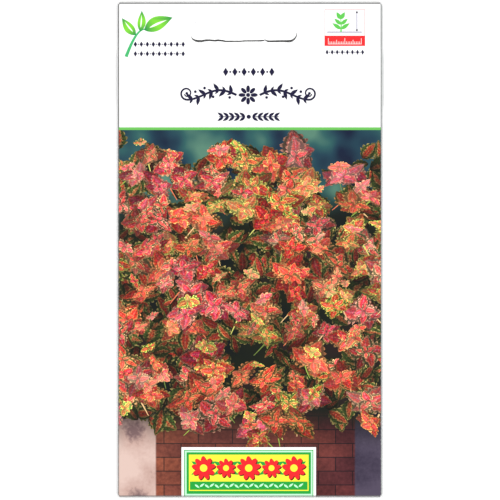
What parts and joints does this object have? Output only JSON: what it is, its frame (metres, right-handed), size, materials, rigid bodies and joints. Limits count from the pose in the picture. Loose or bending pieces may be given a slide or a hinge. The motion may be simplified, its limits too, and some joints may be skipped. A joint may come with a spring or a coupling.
{
  "type": "seed packet",
  "caption": "Flat paper seed packet with a full-height printed front, a die-cut hanging slit, a glued back and a small film sachet of seeds sealed inside.",
  "frame": {"origin": "middle of the packet on the surface that its back lies on", "axes": "+Y along the packet's height towards its hanging slit, +X across its width to the right seen from the front, +Z out of the printed front"},
  "size_m": [0.08, 0.15, 0.0029],
  "materials": {
    "printed_paper": "semi-gloss coated paper, printed in colour",
    "dried_glue": "dried, slightly yellow glue",
    "sachet_film": "thin heat-sealed film",
    "seed_coat": "dull dark brown seed coat"
  },
  "bodies": {
    "root": {"envelope": "printed_paper", "glue_tab_left": "dried_glue", "glue_tab_right": "dried_glue", "glue_flap": "dried_glue", "sachet_lower_film": "sachet_film", "sachet_upper_film": "sachet_film", "seed_01": "seed_coat", "seed_02": "seed_coat", "seed_03": "seed_coat", "seed_04": "seed_coat", "seed_05": "seed_coat", "seed_06": "seed_coat", "seed_07": "seed_coat", "seed_08": "seed_coat", "seed_09": "seed_coat", "seed_10": "seed_coat"}
  },
  "joints": []
}
